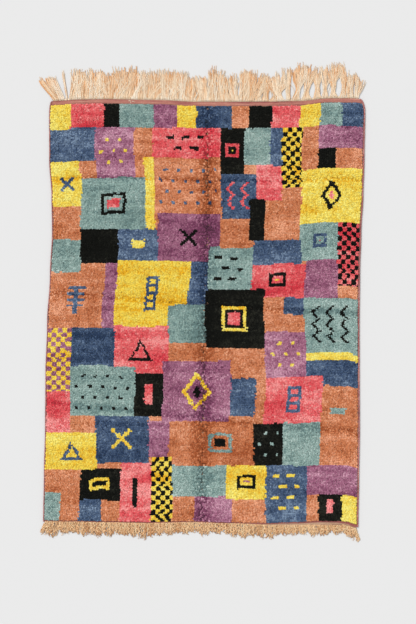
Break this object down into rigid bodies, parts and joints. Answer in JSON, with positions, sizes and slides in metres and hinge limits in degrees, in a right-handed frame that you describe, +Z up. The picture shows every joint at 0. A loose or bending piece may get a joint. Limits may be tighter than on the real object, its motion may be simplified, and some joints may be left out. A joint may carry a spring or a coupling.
{
  "type": "berber rug",
  "caption": "Hand-knotted wool pile rug lying flat, with a flat-woven band at each end, overcast selvedges and an uneven warp fringe at both ends.",
  "frame": {"origin": "on the floor under the middle of the whole rug, fringes included", "axes": "+X across the rug to its right side, +Y along it towards the long fringe, +Z up out of the pile"},
  "size_m": [1.792, 2.5904, 0.0138],
  "materials": {
    "terracotta_wool": "cut wool pile, matt with a soft sheen",
    "sage_wool": "cut wool pile, matt with a soft sheen",
    "blue_wool": "cut wool pile, matt with a soft sheen",
    "coral_wool": "cut wool pile, matt with a soft sheen",
    "plum_wool": "cut wool pile, matt with a soft sheen",
    "yellow_wool": "cut wool pile, matt with a soft sheen",
    "black_wool": "cut wool pile, matt with a soft sheen",
    "ground_weave": "plain weave of cotton warp and wool weft, matt",
    "rose_flatweave": "weft-faced flat weave, matt",
    "mauve_overcast": "wool yarn wrapped over an edge cord, matt",
    "cream_warp": "loose plied warp yarn, matt and hairy",
    "sand_warp": "short curled warp yarn, matt and hairy"
  },
  "bodies": {
    "root": {"pile_field": "terracotta_wool", "band_top": "rose_flatweave", "band_bottom": "rose_flatweave", "selvedge_left": "mauve_overcast", "selvedge_right": "mauve_overcast", "fringe_top": "cream_warp", "fringe_bottom": "sand_warp"}
  },
  "joints": []
}
